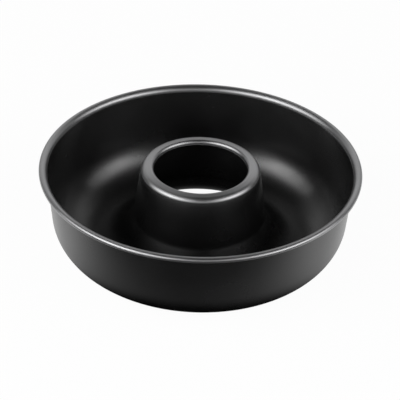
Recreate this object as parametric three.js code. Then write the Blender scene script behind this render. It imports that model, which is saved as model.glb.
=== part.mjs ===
// Savarin mould: a ring cake mould pressed from one sheet of steel, with a hollow chimney in
// the middle and a rim curled over a stiffening wire.
// Millimetres, +Z up. The origin is the centre of the base, level with what the mould stands on.
import * as THREE from "three";

// Driving dimensions. Bend radii are those of the middle of the sheet.
const SHEET = 0.6; // thickness of the steel
const RIM_DIAMETER = 260; // over the curled rim
const HEIGHT = 73.5; // from the base to the top of the rim
const WALL_DRAFT = 5.5; // degrees that the outer wall leans outwards
const TROUGH_BEND = 32.5; // from the outer wall to the base
const FLARE_BEND = 3.9; // from the outer wall to the top of the rim
const RIM_LAND = 0.4; // flat on top of the rim, between the flare and the curl
const WIRE_DIAMETER = 2.4; // the wire in the rim
const WIRE_PLAY = 0.3; // clearance around the wire
const WIRE_END_GAP = 1; // between the wire's two cut ends
const CURL_WRAP = 270; // degrees that the rim is curled around the wire
const CHIMNEY_HEIGHT = 72; // from the base to the top of the chimney
const CHIMNEY_DIAMETER = 95.4; // the chimney's wall, carried up to its top
const CHIMNEY_DRAFT = 6.7; // degrees that the chimney narrows towards its top
const FOOT_BEND = 32.5; // from the chimney's wall to the base
const SHOULDER_BEND = 3.3; // from the chimney's wall to its flat top
const MOUTH_DIAMETER = 76; // clear width of the hole in the chimney's top
const MOUTH_BEND = 2.5; // from the flat top into the hole
const MOUTH_DEPTH = 3.2; // how far the edge of the hole is turned down

// Fineness of the faceted surfaces
const SECTORS = 64; // flats around the mould
const FACET_DEPTH = 0.2; // how far the flats of a wide bend stand off its true arc
const FACET_TURN = 30; // degrees that one flat of a tight bend turns at most
const WIRE_SIDES = 8; // flats around the wire, an even number

const half = SHEET / 2;
const radians = THREE.MathUtils.degToRad;
const curlOutside = WIRE_DIAMETER / 2 + WIRE_PLAY + SHEET;
const curlCentre = new THREE.Vector2(RIM_DIAMETER / 2 - curlOutside, HEIGHT - curlOutside);

// Unit vector along a heading, and the one to the left of it. A heading of 0 points outwards.
const along = (heading) => new THREE.Vector2(Math.cos(heading), Math.sin(heading));
const leftOf = (heading) => new THREE.Vector2(-Math.sin(heading), Math.cos(heading));

// Samples { at, heading } along one bend of the middle line.
function bendSamples(start, heading, turn, radius) {
  const side = Math.sign(turn);
  const centre = start.clone().addScaledVector(leftOf(heading), side * radius);
  const depth = Math.min(FACET_DEPTH, radius);
  const widest = Math.min(2 * Math.acos(1 - depth / radius), radians(FACET_TURN));
  const steps = Math.ceil(Math.abs(turn) / widest - 0.001);
  return Array.from({ length: steps + 1 }, (_, i) => {
    const turned = heading + (turn * i) / steps;
    const at = centre.clone().addScaledVector(leftOf(turned), -side * radius);
    return { at, heading: turned };
  });
}

// The middle line of the sheet from corner to corner, each corner { at, bend } but the first and
// last rounded to its bend. A bend is limited to what the straight runs on both sides of it leave.
function middleLine(corners) {
  const runs = corners.slice(1).map(({ at }, i) => at.clone().sub(corners[i].at));
  const headings = runs.map((run) => run.angle());
  const turns = headings.slice(1).map((heading, i) => {
    const turn = heading - headings[i];
    return Math.atan2(Math.sin(turn), Math.cos(turn));
  });
  const reach = corners.map(({ bend }, i) => (bend ? bend * Math.tan(Math.abs(turns[i - 1]) / 2) : 0));
  const share = runs.map((run, i) => Math.min(1, (0.98 * run.length()) / (reach[i] + reach[i + 1])));
  const line = [{ at: corners[0].at, heading: headings[0] }];
  for (let i = 1; i < corners.length - 1; i += 1) {
    const limit = Math.min(share[i - 1], share[i]);
    const start = corners[i].at.clone().addScaledVector(along(headings[i - 1]), -limit * reach[i]);
    line.push(...bendSamples(start, headings[i - 1], turns[i - 1], limit * corners[i].bend));
  }
  return line;
}

// The pressed sheet, from the turned-down edge of the chimney's mouth, over the flat ring, down
// the chimney, across the trough, up the outer wall and around the wire.
function panShell() {
  const mouth = MOUTH_DIAMETER / 2 + half;
  const chimneyTop = CHIMNEY_HEIGHT - half;
  const chimneyLean = Math.tan(radians(CHIMNEY_DRAFT));
  const chimneyWall = (z) => CHIMNEY_DIAMETER / 2 - half + (chimneyTop - z) * chimneyLean;
  const rimTop = HEIGHT - half;
  const flareReach = FLARE_BEND * Math.tan(radians(90 - WALL_DRAFT) / 2);
  const wallTop = curlCentre.x - RIM_LAND - flareReach;
  const outerWall = (z) => wallTop - (rimTop - z) * Math.tan(radians(WALL_DRAFT));
  const corner = (r, z, bend = 0) => ({ at: new THREE.Vector2(r, z), bend });

  const line = middleLine([
    corner(mouth, CHIMNEY_HEIGHT - MOUTH_DEPTH),
    corner(mouth, chimneyTop, MOUTH_BEND),
    corner(chimneyWall(chimneyTop), chimneyTop, SHOULDER_BEND),
    corner(chimneyWall(half), half, FOOT_BEND),
    corner(outerWall(half), half, TROUGH_BEND),
    corner(wallTop, rimTop, FLARE_BEND),
    corner(curlCentre.x, rimTop),
  ]);
  const curlStart = new THREE.Vector2(curlCentre.x, rimTop);
  line.push(...bendSamples(curlStart, 0, -radians(CURL_WRAP), curlOutside - half));

  const face = (offset) => line.map(({ at, heading }) => at.clone().addScaledVector(leftOf(heading), offset));
  const outline = [...face(-half), ...face(half).reverse()];
  outline.push(outline[0].clone());
  return new THREE.LatheGeometry(outline, SECTORS);
}

// The wire's path: around the rim at the centre of the curl, open at its butted ends.
class WirePath extends THREE.Curve {
  getPoint(t, target = new THREE.Vector3()) {
    const start = WIRE_END_GAP / 2 / curlCentre.x;
    const angle = start + t * 2 * (Math.PI - start);
    return target.set(curlCentre.x * Math.cos(angle), curlCentre.x * Math.sin(angle), curlCentre.y);
  }
}

// The wire that stiffens the rim, bent into a ring and cut to length.
function rimWire() {
  const section = new THREE.Shape().absarc(0, 0, WIRE_DIAMETER / 2, 0, 2 * Math.PI);
  return new THREE.ExtrudeGeometry(section, {
    steps: SECTORS,
    curveSegments: WIRE_SIDES / 2,
    extrudePath: new WirePath(),
    bevelEnabled: false,
  });
}

const coating = new THREE.MeshStandardMaterial({ color: 0x1b1b1c, roughness: 0.38, metalness: 0.1 });
const steel = new THREE.MeshStandardMaterial({ color: 0x8f9194, roughness: 0.35, metalness: 1 });

const pan = new THREE.Mesh(panShell(), coating);
pan.name = "pan_shell";
pan.rotation.x = Math.PI / 2;

const wire = new THREE.Mesh(rimWire(), steel);
wire.name = "rim_wire";

const mould = new THREE.Group();
mould.name = "savarin_mould";
mould.add(pan, wire);

export default mould;
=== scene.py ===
import math

import bpy
import numpy as np
from mathutils import Matrix, Vector


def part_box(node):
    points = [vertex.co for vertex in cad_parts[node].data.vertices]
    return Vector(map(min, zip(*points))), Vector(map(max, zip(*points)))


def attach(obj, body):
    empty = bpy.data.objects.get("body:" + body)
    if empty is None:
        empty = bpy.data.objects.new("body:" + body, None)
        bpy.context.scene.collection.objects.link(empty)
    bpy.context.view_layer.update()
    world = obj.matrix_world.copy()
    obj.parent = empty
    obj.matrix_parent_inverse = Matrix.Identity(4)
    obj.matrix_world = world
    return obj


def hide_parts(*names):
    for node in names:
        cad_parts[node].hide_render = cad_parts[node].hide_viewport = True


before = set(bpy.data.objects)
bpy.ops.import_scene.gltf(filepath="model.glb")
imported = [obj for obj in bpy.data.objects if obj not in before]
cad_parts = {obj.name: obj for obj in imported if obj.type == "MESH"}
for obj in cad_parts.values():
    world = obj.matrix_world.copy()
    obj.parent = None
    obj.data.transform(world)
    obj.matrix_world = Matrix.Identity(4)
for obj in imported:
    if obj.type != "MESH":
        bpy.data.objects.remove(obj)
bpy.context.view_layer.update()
scene = bpy.context.scene
scene.view_settings.view_transform = "Standard"

# The viewpoint: a long lens about a metre and a half away, in front of the mould and well above
# its rim, tipped a little to one side as it was held.
aim = Vector((0.0002, 0.0, 0.0398))
distance = 1.5
elevation = math.radians(33.95)
roll = math.radians(1.64)
picture_width = 400  # pixels
focal_length = 1841.7  # pixels
sensor_width = 36.0  # millimetres

camera = bpy.data.objects.new("camera", bpy.data.cameras.new("camera"))
camera.data.sensor_width = sensor_width
camera.data.lens = sensor_width * focal_length / picture_width
camera.data.clip_end = 50.0
eye = aim + distance * Vector((0.0, -math.cos(elevation), math.sin(elevation)))
camera.matrix_world = (
    Matrix.Translation(eye)
    @ Matrix.Rotation(math.pi / 2 - elevation, 4, "X")
    @ Matrix.Rotation(roll, 4, "Z")
)
scene.collection.objects.link(camera)
scene.camera = camera

# The pan shell: one sheet of steel, deep drawn into a ring trough around a hollow chimney, with its
# edge curled into a rim. The chimney stands on the trough's sloping inner side and ends in a slightly
# crowned ring. Both faces are coated satin black, and only the two trimmed edges of the sheet are bare.
sheet = 0.0006  # thickness
rim_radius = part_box("pan_shell")[1].x
rim_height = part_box("pan_shell")[1].z
wall_draft = math.radians(5.5)
trough_bend = 0.0325  # between the outer wall and the base
flare_bend = 0.0039  # between the outer wall and the top of the rim
rim_land = 0.0004  # level part of the rim, before the curl
curl_radius = 0.0018
curl_wrap = math.radians(270)
chimney_height = 0.072
chimney_radius = 0.0477
chimney_draft = math.radians(6.7)
crease_height = 0.0285  # where the chimney stands on the inner side of the trough
crease_bend = 0.008
inner_slope = math.radians(63)
foot_bend = 0.028  # between the inner side of the trough and the base
ring_rise = 0.0009  # how far the ring's inner corner stands above a flat ring
ring_fall = 0.0002  # how far its outer corner lies below that
ring_inset = 0.00035  # how far its outer corner lies inside the chimney's plain wall
shoulder_bend = 0.0042  # between the ring and the chimney's wall
shoulder_ease = math.radians(7)  # extra lean of the wall just under the shoulder
ease_bend = 0.1
ease_gap = 0.0001  # straight run between the shoulder and the ease
mouth_radius = 0.038
mouth_bend = 0.0021
mouth_depth = 0.0032  # how far the ring's inner edge is turned down
sectors = 240


def side_of(heading):
    """Unit vectors square to the headings, on their left: (-sin, cos) of each."""
    return np.stack([-np.sin(heading), np.cos(heading)], axis=-1)


def bend(start, heading, turn, radius, step=0.0012, least_turn=0.04, most_turn=0.16):
    """One bend of the sheet's middle line. The heading turns evenly from its first value by turn, and
    each point lies one radius from the bend's centre, square to the heading there. The steps are
    about a millimetre long, but turn by no less than 2 degrees and no more than 9."""
    steps = math.ceil(abs(turn) / min(max(step / radius, least_turn), most_turn))
    headings = heading + turn * np.linspace(0.0, 1.0, steps + 1)
    centre = start + math.copysign(radius, turn) * side_of(np.array(heading))
    return centre - math.copysign(radius, turn) * side_of(headings), headings


def middle_line(corners, radii, short_run=0.01):
    """The sheet's middle line through the corners. Each corner but the first and last is rounded to
    its radius: the bend starts radius times tan(turn / 2) ahead of the corner. The straight runs
    have points that crowd towards the bends, spaced as the cosine of an even angle."""
    runs = np.diff(corners, axis=0)
    headings = np.arctan2(runs[:, 1], runs[:, 0])
    turns = np.diff(headings)
    points, directions = [corners[:1]], [headings[:1]]
    for corner, radius, heading, turn in zip(corners[1:-1], radii, headings, turns):
        ahead = np.array([math.cos(heading), math.sin(heading)])
        start = corner - radius * math.tan(abs(turn) / 2) * ahead
        bent, bent_headings = bend(start, heading, turn, radius)
        last = points[-1][-1]
        inner = 3 if np.hypot(*(start - last)) < short_run else 8
        share = 0.5 - 0.5 * np.cos(np.linspace(0.0, np.pi, inner + 2)[1:-1, None])
        points += [last + share * (start - last), bent]
        directions += [np.full(inner, heading), bent_headings]
    return np.concatenate(points), np.concatenate(directions)


def sheet_outline(line, headings, thickness):
    """Closed outline of a sheet on its middle line: the line pushed out by half the thickness on one
    side, a half round at the end, the line pushed out on the other side, and a half round back.
    Also returns a mask that is 1 on the two half rounds."""
    half = thickness / 2
    fan = np.linspace(0.0, np.pi, 7)[1:-1, None]
    across = half * side_of(headings)
    ahead = half * side_of(headings[-1] - np.pi / 2)
    behind = half * side_of(headings[0] + np.pi / 2)
    end = line[-1] + np.cos(fan) * -across[-1] + np.sin(fan) * ahead
    start = line[0] + np.cos(fan) * across[0] + np.sin(fan) * behind
    outline = np.concatenate([line - across, end, (line + across)[::-1], start])
    face, edge = np.zeros(len(line)), np.ones(len(fan))
    return outline, np.concatenate([face, edge, face, edge])


def grid_object(name, points, ring):
    """A surface from a grid of points, rows by columns. Each row closes on itself. The rows join up in
    a ring too, or else the first and the last row are filled in as flat ends."""
    rows, columns = points.shape[:2]
    row = np.arange(rows if ring else rows - 1)[:, None]
    column = np.arange(columns)[None, :]
    after = (row + 1) % rows
    beside = (column + 1) % columns
    near, far = row * columns, after * columns
    quads = np.stack([near + column, near + beside, far + beside, far + column], axis=-1)
    faces = quads.reshape(-1, 4).tolist()
    if not ring:
        end = np.arange(columns)
        faces += [end[::-1].tolist(), (end + (rows - 1) * columns).tolist()]
    mesh = bpy.data.meshes.new(name)
    mesh.from_pydata(points.reshape(-1, 3), [], faces)
    mesh.shade_smooth()
    piece = bpy.data.objects.new(name, mesh)
    scene.collection.objects.link(piece)
    return piece


def revolve(outline, angles):
    """Surface of revolution: the outline's point (r, z) goes to (r cos a, r sin a, z) at each angle
    a."""
    r, z = outline[:, 0, None], outline[:, 1, None]
    return np.stack([r * np.cos(angles), r * np.sin(angles), z + 0 * angles], axis=-1)


half = sheet / 2
chimney_top = chimney_height - half
ring_inside = mouth_radius + half
ring_outside = chimney_radius - half - ring_inset
ring_slope = math.atan2(ring_rise + ring_fall, ring_outside - ring_inside)
upper_draft = chimney_draft + shoulder_ease
ease_drop = (
    shoulder_bend * math.tan((math.pi / 2 - upper_draft - ring_slope) / 2)
    + ease_bend * math.tan(shoulder_ease / 2)
    + ease_gap
) * math.cos(upper_draft) + ring_fall
ease_radius = ring_outside + (ease_drop - ring_fall) * math.tan(upper_draft)
crease_radius = ease_radius + (chimney_top - ease_drop - crease_height) * math.tan(chimney_draft)
slope_foot = crease_radius + (crease_height - half) / math.tan(inner_slope)
curl_centre = rim_radius - curl_radius - half
rim_top = rim_height - half
wall_top = curl_centre - rim_land - flare_bend * math.tan((math.pi / 2 - wall_draft) / 2)
wall_foot = wall_top - (rim_top - half) * math.tan(wall_draft)
line, headings = middle_line(
    np.array(
        [
            (ring_inside, chimney_height - mouth_depth + half),
            (ring_inside, chimney_top + ring_rise),
            (ring_outside, chimney_top - ring_fall),
            (ease_radius, chimney_top - ease_drop),
            (crease_radius, crease_height),
            (slope_foot, half),
            (wall_foot, half),
            (wall_top, rim_top),
            (curl_centre, rim_top),
        ]
    ),
    [mouth_bend, shoulder_bend, ease_bend, crease_bend, foot_bend, trough_bend, flare_bend],
)
curl, curl_headings = bend(
    np.array([curl_centre, rim_top]), 0.0, -(curl_wrap - half / curl_radius), curl_radius
)
line = np.concatenate([line, curl])
headings = np.concatenate([headings, curl_headings])
outline, cut = sheet_outline(line, headings, sheet)

angles = np.linspace(0.0, 2 * np.pi, sectors, endpoint=False)
pan = grid_object("pan", revolve(outline, angles), True)

# Where the press rubbed the coating bright: 1 at the top of the rim and of the chimney's ring, to a
# depth given here, and fading smoothly to 0 below it.
rim_bright, rim_fade = 0.002, 0.003
ring_bright, ring_fade = 0.0016, 0.002
trough_middle = 0.09
on_rim = outline[:, 0] > trough_middle
depth = np.where(on_rim, rim_height, chimney_height) - outline[:, 1]
bright, fade = np.where(on_rim, rim_bright, ring_bright), np.where(on_rim, rim_fade, ring_fade)
rubbed = ((bright + fade - depth) / fade).clip(0.0, 1.0)
rubbed = rubbed * rubbed * (3 - 2 * rubbed)
for mask_name, mask in (("cut", cut), ("rubbed", rubbed)):
    values = np.repeat(mask, sectors).astype(np.float32)
    pan.data.attributes.new(mask_name, "FLOAT", "POINT").data.foreach_set("value", values)


def wire_up(tree, *links):
    """Joins nodes: each link is (from node, output name, to node, input name or number)."""
    for source, output, target, entry in links:
        tree.links.new(source.outputs[output], target.inputs[entry])


def add_node(tree, kind, **settings):
    """A new shader node with its properties and its input values set by name."""
    node = tree.nodes.new("ShaderNode" + kind)
    for key, value in settings.items():
        if hasattr(node, key):
            setattr(node, key, value)
        else:
            node.inputs[key.replace("_", " ")].default_value = value
    return node


# Bare drawn steel, for every place without the coating: streaks that run around the mould's axis and
# drift slowly along their length.
bare_steel = bpy.data.node_groups.new("bare_steel", "ShaderNodeTree")
bare_steel.interface.new_socket("Position", in_out="INPUT", socket_type="NodeSocketVector")
bare_steel.interface.new_socket("Fineness", in_out="INPUT", socket_type="NodeSocketFloat")
bare_steel.interface.new_socket("Color", in_out="OUTPUT", socket_type="NodeSocketColor")
bare_steel.interface.new_socket("Roughness", in_out="OUTPUT", socket_type="NodeSocketFloat")
given = bare_steel.nodes.new("NodeGroupInput")
made = bare_steel.nodes.new("NodeGroupOutput")
level = add_node(bare_steel, "VectorMath", operation="MULTIPLY")
level.inputs[1].default_value = (1.0, 1.0, 0.0)
out = add_node(bare_steel, "VectorMath", operation="LENGTH")
parts = add_node(bare_steel, "SeparateXYZ")
section = add_node(bare_steel, "CombineXYZ")
drift = add_node(bare_steel, "VectorMath", operation="SCALE", Scale=0.03)
streak_place = add_node(bare_steel, "VectorMath", operation="ADD")
streaks = add_node(bare_steel, "TexNoise", Detail=4.0)
streak_tone = add_node(bare_steel, "ValToRGB")
streak_tone.color_ramp.elements[0].color = (0.36, 0.36, 0.37, 1.0)
streak_tone.color_ramp.elements[1].color = (0.6, 0.6, 0.6, 1.0)
streak_tone.color_ramp.elements[0].position = 0.3
streak_tone.color_ramp.elements[1].position = 0.7
streak_gloss = add_node(
    bare_steel, "MapRange", From_Min=0.3, From_Max=0.7, To_Min=0.26, To_Max=0.42
)
wire_up(
    bare_steel,
    (given, "Position", level, 0),
    (level, "Vector", out, 0),
    (given, "Position", parts, "Vector"),
    (out, "Value", section, "X"),
    (parts, "Z", section, "Y"),
    (given, "Position", drift, 0),
    (section, "Vector", streak_place, 0),
    (drift, "Vector", streak_place, 1),
    (streak_place, "Vector", streaks, "Vector"),
    (given, "Fineness", streaks, "Scale"),
    (streaks, "Fac", streak_tone, "Fac"),
    (streaks, "Fac", streak_gloss, "Value"),
    (streak_tone, "Color", made, "Color"),
    (streak_gloss, "Result", made, "Roughness"),
)

# The coating: a satin black film with slow waves in the sheet under it, a fine orange peel and faint
# clouds in its tone and gloss. It gives way to bright metal where it is rubbed and to bare cut edges.
coat_dark = (0.0023, 0.0023, 0.0023, 1.0)
coat_pale = (0.005, 0.005, 0.0051, 1.0)
rubbed_tone = (0.33, 0.33, 0.335, 1.0)
rubbed_roughness = 0.08  # on top of the coating's own
edge_fineness = 9000.0
coating = bpy.data.materials.new("nonstick_coating")
coating.use_nodes = True
tree = coating.node_tree
shader = tree.nodes["Principled BSDF"]
shader.inputs["IOR"].default_value = 1.75
shader.inputs["Anisotropic"].default_value = 0.7
shader.inputs["Anisotropic Rotation"].default_value = 0.25
place = add_node(tree, "TexCoord")
clouds = add_node(tree, "TexNoise", Scale=24.0, Detail=4.0)
peel = add_node(tree, "TexNoise", Scale=1100.0, Detail=2.0)
waves = add_node(tree, "TexNoise", Scale=45.0, Detail=1.0)
tone = add_node(tree, "ValToRGB")
tone.color_ramp.elements[0].color = coat_dark
tone.color_ramp.elements[1].color = coat_pale
tone.color_ramp.elements[0].position = 0.3
tone.color_ramp.elements[1].position = 0.7
satin = add_node(tree, "MapRange", From_Min=0.3, From_Max=0.7, To_Min=0.23, To_Max=0.28)
worn = add_node(tree, "Attribute", attribute_name="rubbed")
rough = add_node(tree, "Math", operation="MULTIPLY_ADD")
rough.inputs[1].default_value = rubbed_roughness
bright_tone = add_node(tree, "Mix", data_type="RGBA")
bright_tone.inputs[7].default_value = rubbed_tone
edge = add_node(tree, "Attribute", attribute_name="cut")
edge_steel = add_node(tree, "Group", node_tree=bare_steel)
edge_steel.inputs["Fineness"].default_value = edge_fineness
edge_tone = add_node(tree, "Mix", data_type="RGBA")
edge_gloss = add_node(tree, "Mix", data_type="FLOAT")
metal = add_node(tree, "Math", operation="MAXIMUM")
peel_height = add_node(tree, "Bump", Strength=1.0, Distance=0.000003)
wave_height = add_node(tree, "Bump", Strength=1.0, Distance=0.00004)
wire_up(
    tree,
    (place, "Object", clouds, "Vector"),
    (place, "Object", peel, "Vector"),
    (place, "Object", waves, "Vector"),
    (clouds, "Fac", tone, "Fac"),
    (clouds, "Fac", satin, "Value"),
    (tone, "Color", bright_tone, 6),
    (worn, "Fac", bright_tone, 0),
    (place, "Object", edge_steel, "Position"),
    (edge, "Fac", edge_tone, 0),
    (bright_tone, 2, edge_tone, 6),
    (edge_steel, "Color", edge_tone, 7),
    (edge_tone, 2, shader, "Base Color"),
    (worn, "Fac", metal, 0),
    (edge, "Fac", metal, 1),
    (metal, "Value", shader, "Metallic"),
    (worn, "Fac", rough, 0),
    (satin, "Result", rough, 2),
    (edge, "Fac", edge_gloss, 0),
    (rough, "Value", edge_gloss, 2),
    (edge_steel, "Roughness", edge_gloss, 3),
    (edge_gloss, 0, shader, "Roughness"),
    (waves, "Fac", wave_height, "Height"),
    (peel, "Fac", peel_height, "Height"),
    (wave_height, "Normal", peel_height, "Normal"),
    (peel_height, "Normal", shader, "Normal"),
)
pan.data.materials.append(coating)

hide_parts("pan_shell")
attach(pan, "root")

# The rim wire: plain drawn steel wire, bent into a ring and laid in the curl of the rim, which holds
# it all the way around. Its two cut ends meet with a small gap.
wire_radius = 0.0012
wire_gap = 0.001
wire_level = rim_top - curl_radius
wire_steps = 181
wire_sides = 16
wire_fineness = 6000.0


def ring_wire(ring_radius, level, radius, gap, steps, sides):
    """A round section carried along an open ring: at angle a along the ring and b around the section
    the point is at distance R + r cos b from the axis and height level + r sin b."""
    start = gap / 2 / ring_radius
    a = np.linspace(start, 2 * np.pi - start, steps)[:, None]
    b = np.linspace(0.0, 2 * np.pi, sides, endpoint=False)[None, :]
    out = ring_radius + radius * np.cos(b)
    return np.stack([out * np.cos(a), out * np.sin(a), level + radius * np.sin(b) + 0 * a], axis=-1)


wire_points = ring_wire(curl_centre, wire_level, wire_radius, wire_gap, wire_steps, wire_sides)
wire = grid_object("wire", wire_points, False)
wire.data.set_sharp_from_angle(angle=math.radians(40))
steel = bpy.data.materials.new("bare_wire_steel")
steel.use_nodes = True
tree = steel.node_tree
shader = tree.nodes["Principled BSDF"]
shader.inputs["Metallic"].default_value = 1.0
place = add_node(tree, "TexCoord")
drawn = add_node(tree, "Group", node_tree=bare_steel)
drawn.inputs["Fineness"].default_value = wire_fineness
scores = add_node(tree, "Bump", Strength=1.0, Distance=0.000004)
wire_up(
    tree,
    (place, "Object", drawn, "Position"),
    (drawn, "Color", shader, "Base Color"),
    (drawn, "Roughness", shader, "Roughness"),
    (drawn, "Roughness", scores, "Height"),
    (scores, "Normal", shader, "Normal"),
)
wire.data.materials.append(steel)
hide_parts("rim_wire")
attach(wire, "root")

# The floor: a plain pale studio sweep that the mould stands on. It shows as white, with a little of
# its real light and shade left in for the mould's shadow. In reflections it glows white behind the
# mould and fades to dark in front of it and under it: a painted shadow of the mould in the floor's
# glow.
reach = 12.0
floor_level = -0.0002
white_share = 0.96
floor_mesh = bpy.data.meshes.new("floor")
floor_corners = [(-reach, -reach), (reach, -reach), (reach, reach), (-reach, reach)]
floor_mesh.from_pydata([(x, y, floor_level) for x, y in floor_corners], [], [(0, 1, 2, 3)])
floor = bpy.data.objects.new("floor", floor_mesh)
scene.collection.objects.link(floor)
white = bpy.data.materials.new("floor_white")
white.use_nodes = True
tree = white.node_tree
tree.nodes.clear()
rays = add_node(tree, "LightPath")
clear = add_node(tree, "Math", operation="MAXIMUM")
seen = add_node(tree, "Math", operation="MAXIMUM")
share = add_node(tree, "Math", operation="MULTIPLY")
share.inputs[1].default_value = white_share
place = add_node(tree, "TexCoord")
# Painted shadow: glossy rays see the floor's glow dimmed in front of the mould and under it, standing
# in for the shade the mould casts there.
towards = add_node(tree, "VectorMath", operation="DOT_PRODUCT")
towards.inputs[1].default_value = (0.1, 1.0, 0.0)
painted_front_shade = add_node(tree, "MapRange", interpolation_type="SMOOTHSTEP", From_Min=-0.175, From_Max=-0.05)
painted_front_shade.inputs["To Min"].default_value = 0.05
painted_front_shade.inputs["To Max"].default_value = 0.9
away = add_node(tree, "VectorMath", operation="DISTANCE")
away.inputs[1].default_value = (0.0, -0.03, 0.0)
under = add_node(tree, "MapRange", interpolation_type="SMOOTHSTEP", From_Min=0.085, From_Max=0.138)
painted_shadow_glow = add_node(tree, "Math", operation="MULTIPLY")
painted_shadow_strength = add_node(tree, "Mix", data_type="FLOAT")
painted_shadow_strength.inputs[2].default_value = 1.0
paper_tone = add_node(tree, "Mix", data_type="RGBA")
paper_tone.inputs[6].default_value = (0.35, 0.35, 0.35, 1.0)
paper_tone.inputs[7].default_value = (0.9, 0.9, 0.9, 1.0)
paper = add_node(tree, "BsdfDiffuse")
glow = add_node(tree, "Emission", Color=(1.0, 1.0, 1.0, 1.0))
blend = add_node(tree, "MixShader")
finish = add_node(tree, "OutputMaterial")
wire_up(
    tree,
    (rays, "Is Camera Ray", clear, 0),
    (rays, "Is Transmission Ray", clear, 1),
    (clear, "Value", share, 0),
    (share, "Value", seen, 0),
    (rays, "Is Glossy Ray", seen, 1),
    (rays, "Is Camera Ray", paper_tone, 0),
    (paper_tone, 2, paper, "Color"),
    (place, "Object", towards, 0),
    (towards, "Value", painted_front_shade, "Value"),
    (place, "Object", away, 0),
    (away, "Value", under, "Value"),
    (painted_front_shade, "Result", painted_shadow_glow, 0),
    (under, "Result", painted_shadow_glow, 1),
    (rays, "Is Glossy Ray", painted_shadow_strength, 0),
    (painted_shadow_glow, "Value", painted_shadow_strength, 3),
    (painted_shadow_strength, 0, glow, "Strength"),
    (seen, "Value", blend, 0),
    (paper, "BSDF", blend, 1),
    (glow, "Emission", blend, 2),
    (blend, "Shader", finish, "Surface"),
)
floor_mesh.materials.append(white)

# The light: two large softboxes at the sides and a little in front, three weak ones behind the mould,
# and a low wide fill in front of it, in a dim room that looks white behind the floor.
lamp_distance = 1.6
lamp_aim = Vector((0.0, 0.0, 0.05))
layers = 4
layer_gap = 0.001


def softbox(name, azimuth, height, width, tall, radiance):
    """A flat lamp that faces the mould, in four layers, the smallest a quarter as wide and two fifths
    as tall as the largest, so it is brightest in the middle. Azimuth is measured from behind the
    mould towards its right, and height, width and tall are angles too, seen from the mould. Each
    layer's power is its share of the radiance times pi times its area."""
    turn, tip = math.radians(azimuth), math.radians(height)
    level = math.cos(tip)
    away = Vector((math.sin(turn) * level, math.cos(turn) * level, math.sin(tip)))
    for layer in range(layers):
        half_width = math.radians(width / 2 * (1.0 - layer / layers))
        half_height = math.radians(tall / 2 * (1.0 - layer / (layers + 1)))
        lamp = bpy.data.lights.new(name, "AREA")
        lamp.shape = "RECTANGLE"
        lamp.size = 2 * lamp_distance * math.tan(half_width)
        lamp.size_y = 2 * lamp_distance * math.tan(half_height)
        lamp.energy = radiance / layers * math.pi * lamp.size * lamp.size_y
        box = bpy.data.objects.new(name, lamp)
        box.location = lamp_aim + (lamp_distance + layer_gap * layer) * away
        box.rotation_euler = away.to_track_quat("Z", "Y").to_euler()
        box.visible_camera = False
        scene.collection.objects.link(box)


softbox("key_right", 115, 27, 76, 46, 3.5)
softbox("key_left", 240, 31, 84, 50, 4.4)
softbox("back_right", 34, 25, 66, 44, 0.62)
softbox("back_left", 326, 25, 66, 44, 0.62)
softbox("back_middle", 0, 29, 50, 32, 0.65)
softbox("fill_front", 180, 20, 110, 30, 1.3)

dim_room = (0.035, 0.035, 0.035, 1.0)
white_room = (0.985, 0.985, 0.985, 1.0)
world = bpy.data.worlds.new("studio")
scene.world = world
world.use_nodes = True
tree = world.node_tree
room = tree.nodes["Background"]
room.inputs["Strength"].default_value = 1.0
rays = add_node(tree, "LightPath")
seen = add_node(tree, "Math", operation="MAXIMUM")
room_tone = add_node(tree, "Mix", data_type="RGBA")
room_tone.inputs[6].default_value = dim_room
room_tone.inputs[7].default_value = white_room
wire_up(
    tree,
    (rays, "Is Camera Ray", seen, 0),
    (rays, "Is Transmission Ray", seen, 1),
    (seen, "Value", room_tone, 0),
    (room_tone, 2, room, "Color"),
)
